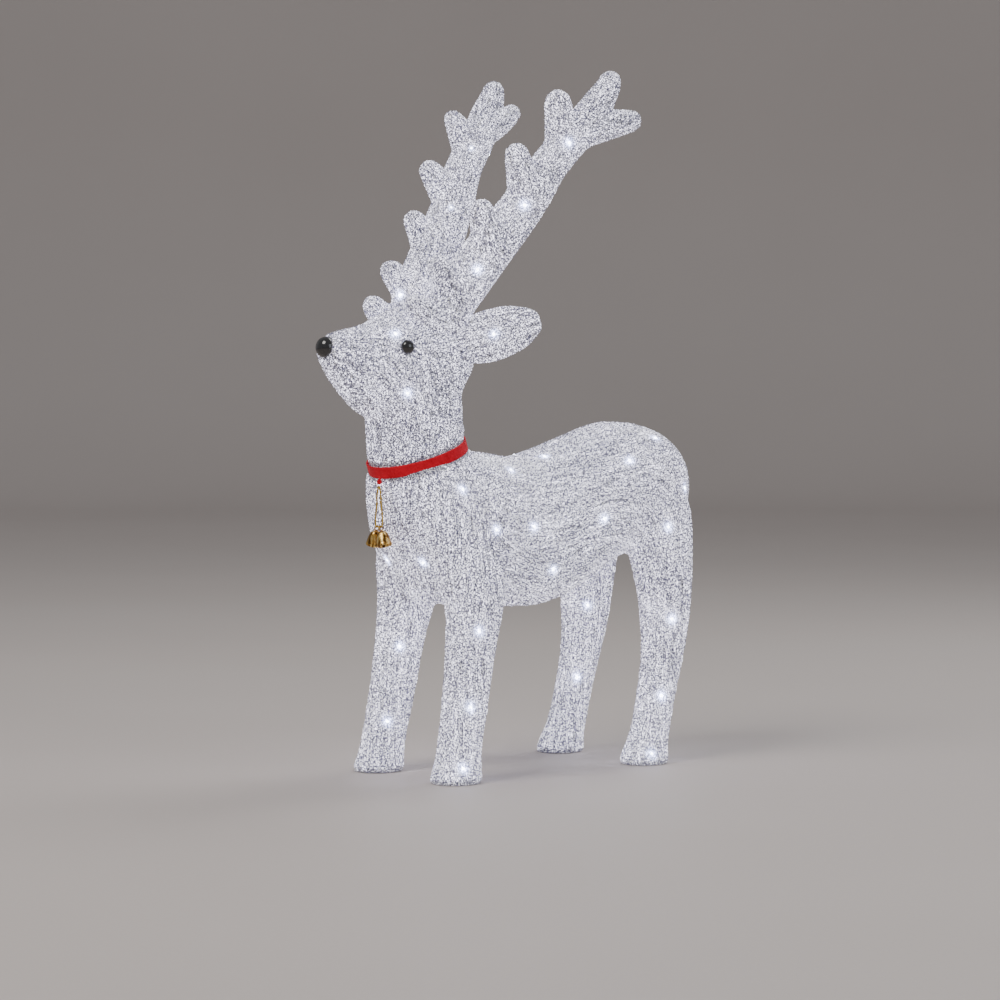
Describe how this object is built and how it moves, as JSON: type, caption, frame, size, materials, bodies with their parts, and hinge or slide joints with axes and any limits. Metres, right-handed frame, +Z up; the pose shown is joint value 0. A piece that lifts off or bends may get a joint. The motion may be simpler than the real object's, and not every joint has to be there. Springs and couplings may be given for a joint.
{
  "type": "light up reindeer figure",
  "caption": "Standing outdoor reindeer of fused clear acrylic thread with LED strings inside, red ribbon collar and two small brass bells.",
  "frame": {"origin": "on the ground, in the middle of the overall box", "axes": "+Z up, faces -Y, its own left side is +X"},
  "size_m": [0.1787, 0.3852, 0.6166],
  "materials": {
    "body_shell_left": "fused clear acrylic thread, sparkling",
    "body_shell_right": "fused clear acrylic thread, sparkling",
    "head_shell_left": "fused clear acrylic thread, sparkling",
    "head_shell_right": "fused clear acrylic thread, sparkling",
    "antler_left": "fused clear acrylic thread, sparkling",
    "antler_right": "fused clear acrylic thread, sparkling",
    "ear_left": "fused clear acrylic thread, sparkling",
    "ear_right": "fused clear acrylic thread, sparkling",
    "nose": "gloss black",
    "eye_left": "gloss black",
    "eye_right": "gloss black",
    "neck_sleeve": "natural white",
    "collar_ribbon": "red velvet",
    "collar_knot": "red velvet",
    "bell_cord": "gold twisted cord",
    "bell_left": "antique brass",
    "bell_right": "antique brass",
    "clapper_left": "dark iron",
    "clapper_right": "dark iron",
    "battery_tray": "white, fine grain",
    "battery_door": "white, fine grain",
    "hinge_pin": "plain steel",
    "door_screw": "plain steel",
    "push_button": "soft black",
    "timer_board": "green solder mask",
    "cell_1": "plain printed can",
    "contact_spring_1": "plated spring wire",
    "cell_2": "plain printed can",
    "contact_spring_2": "plated spring wire",
    "cell_3": "plain printed can",
    "contact_spring_3": "plated spring wire",
    "body_light_string_left": "clear insulated wire with cold-white LED bulbs",
    "body_light_string_right": "clear insulated wire with cold-white LED bulbs",
    "head_light_string_left": "clear insulated wire with cold-white LED bulbs",
    "head_light_string_right": "clear insulated wire with cold-white LED bulbs",
    "antler_light_string_left": "clear insulated wire with cold-white LED bulbs",
    "antler_light_string_right": "clear insulated wire with cold-white LED bulbs"
  },
  "bodies": {
    "reindeer": {"body_shell_left": "body_shell_left", "body_shell_right": "body_shell_right", "head_shell_left": "head_shell_left", "head_shell_right": "head_shell_right", "antler_left": "antler_left", "antler_right": "antler_right", "ear_left": "ear_left", "ear_right": "ear_right", "nose": "nose", "eye_left": "eye_left", "eye_right": "eye_right", "neck_sleeve": "neck_sleeve", "collar_ribbon": "collar_ribbon", "collar_knot": "collar_knot", "battery_tray": "battery_tray", "hinge_pin": "hinge_pin", "timer_board": "timer_board", "cell_1": "cell_1", "contact_spring_1": "contact_spring_1", "cell_2": "cell_2", "contact_spring_2": "contact_spring_2", "cell_3": "cell_3", "contact_spring_3": "contact_spring_3", "body_light_string_left": "body_light_string_left", "body_light_string_right": "body_light_string_right", "head_light_string_left": "head_light_string_left", "head_light_string_right": "head_light_string_right", "antler_light_string_left": "antler_light_string_left", "antler_light_string_right": "antler_light_string_right"},
    "bell_loop": {"bell_cord": "bell_cord"},
    "left_bell": {"bell_left": "bell_left"},
    "right_bell": {"bell_right": "bell_right"},
    "left_clapper": {"clapper_left": "clapper_left"},
    "right_clapper": {"clapper_right": "clapper_right"},
    "battery_door": {"battery_door": "battery_door", "door_screw": "door_screw"},
    "push_button": {"push_button": "push_button"}
  },
  "joints": [
    {"name": "bell_loop_swing", "type": "hinge", "parent": "reindeer", "child": "bell_loop", "pos_m": [0, -0.12608, 0.25761], "axis": [0, 1, 0], "range_deg": [-30, 30]},
    {"name": "left_bell_swing", "type": "hinge", "parent": "bell_loop", "child": "left_bell", "pos_m": [0.003, -0.12608, 0.21986], "axis": [1, 0, 0], "range_deg": [-35, 10]},
    {"name": "right_bell_swing", "type": "hinge", "parent": "bell_loop", "child": "right_bell", "pos_m": [-0.003, -0.12608, 0.21986], "axis": [1, 0, 0], "range_deg": [-35, 10]},
    {"name": "left_clapper_swing", "type": "hinge", "parent": "left_bell", "child": "left_clapper", "pos_m": [0.00491, -0.12608, 0.2131], "axis": [0.9537, 0, 0.3007], "range_deg": [-22, 22]},
    {"name": "right_clapper_swing", "type": "hinge", "parent": "right_bell", "child": "right_clapper", "pos_m": [-0.00491, -0.12608, 0.2131], "axis": [0.9537, 0, -0.3007], "range_deg": [-22, 22]},
    {"name": "battery_door_hinge", "type": "hinge", "parent": "reindeer", "child": "battery_door", "pos_m": [0, -0.01919, 0.15062], "axis": [-1, 0, 0], "range_deg": [0, 88]},
    {"name": "push_button_travel", "type": "slide", "parent": "reindeer", "child": "push_button", "axis": [0, -0.0837, 0.9965], "range_m": [0, 0.0012], "stiffness_N_per_m": 400, "springref_m": -0.0004}
  ]
}
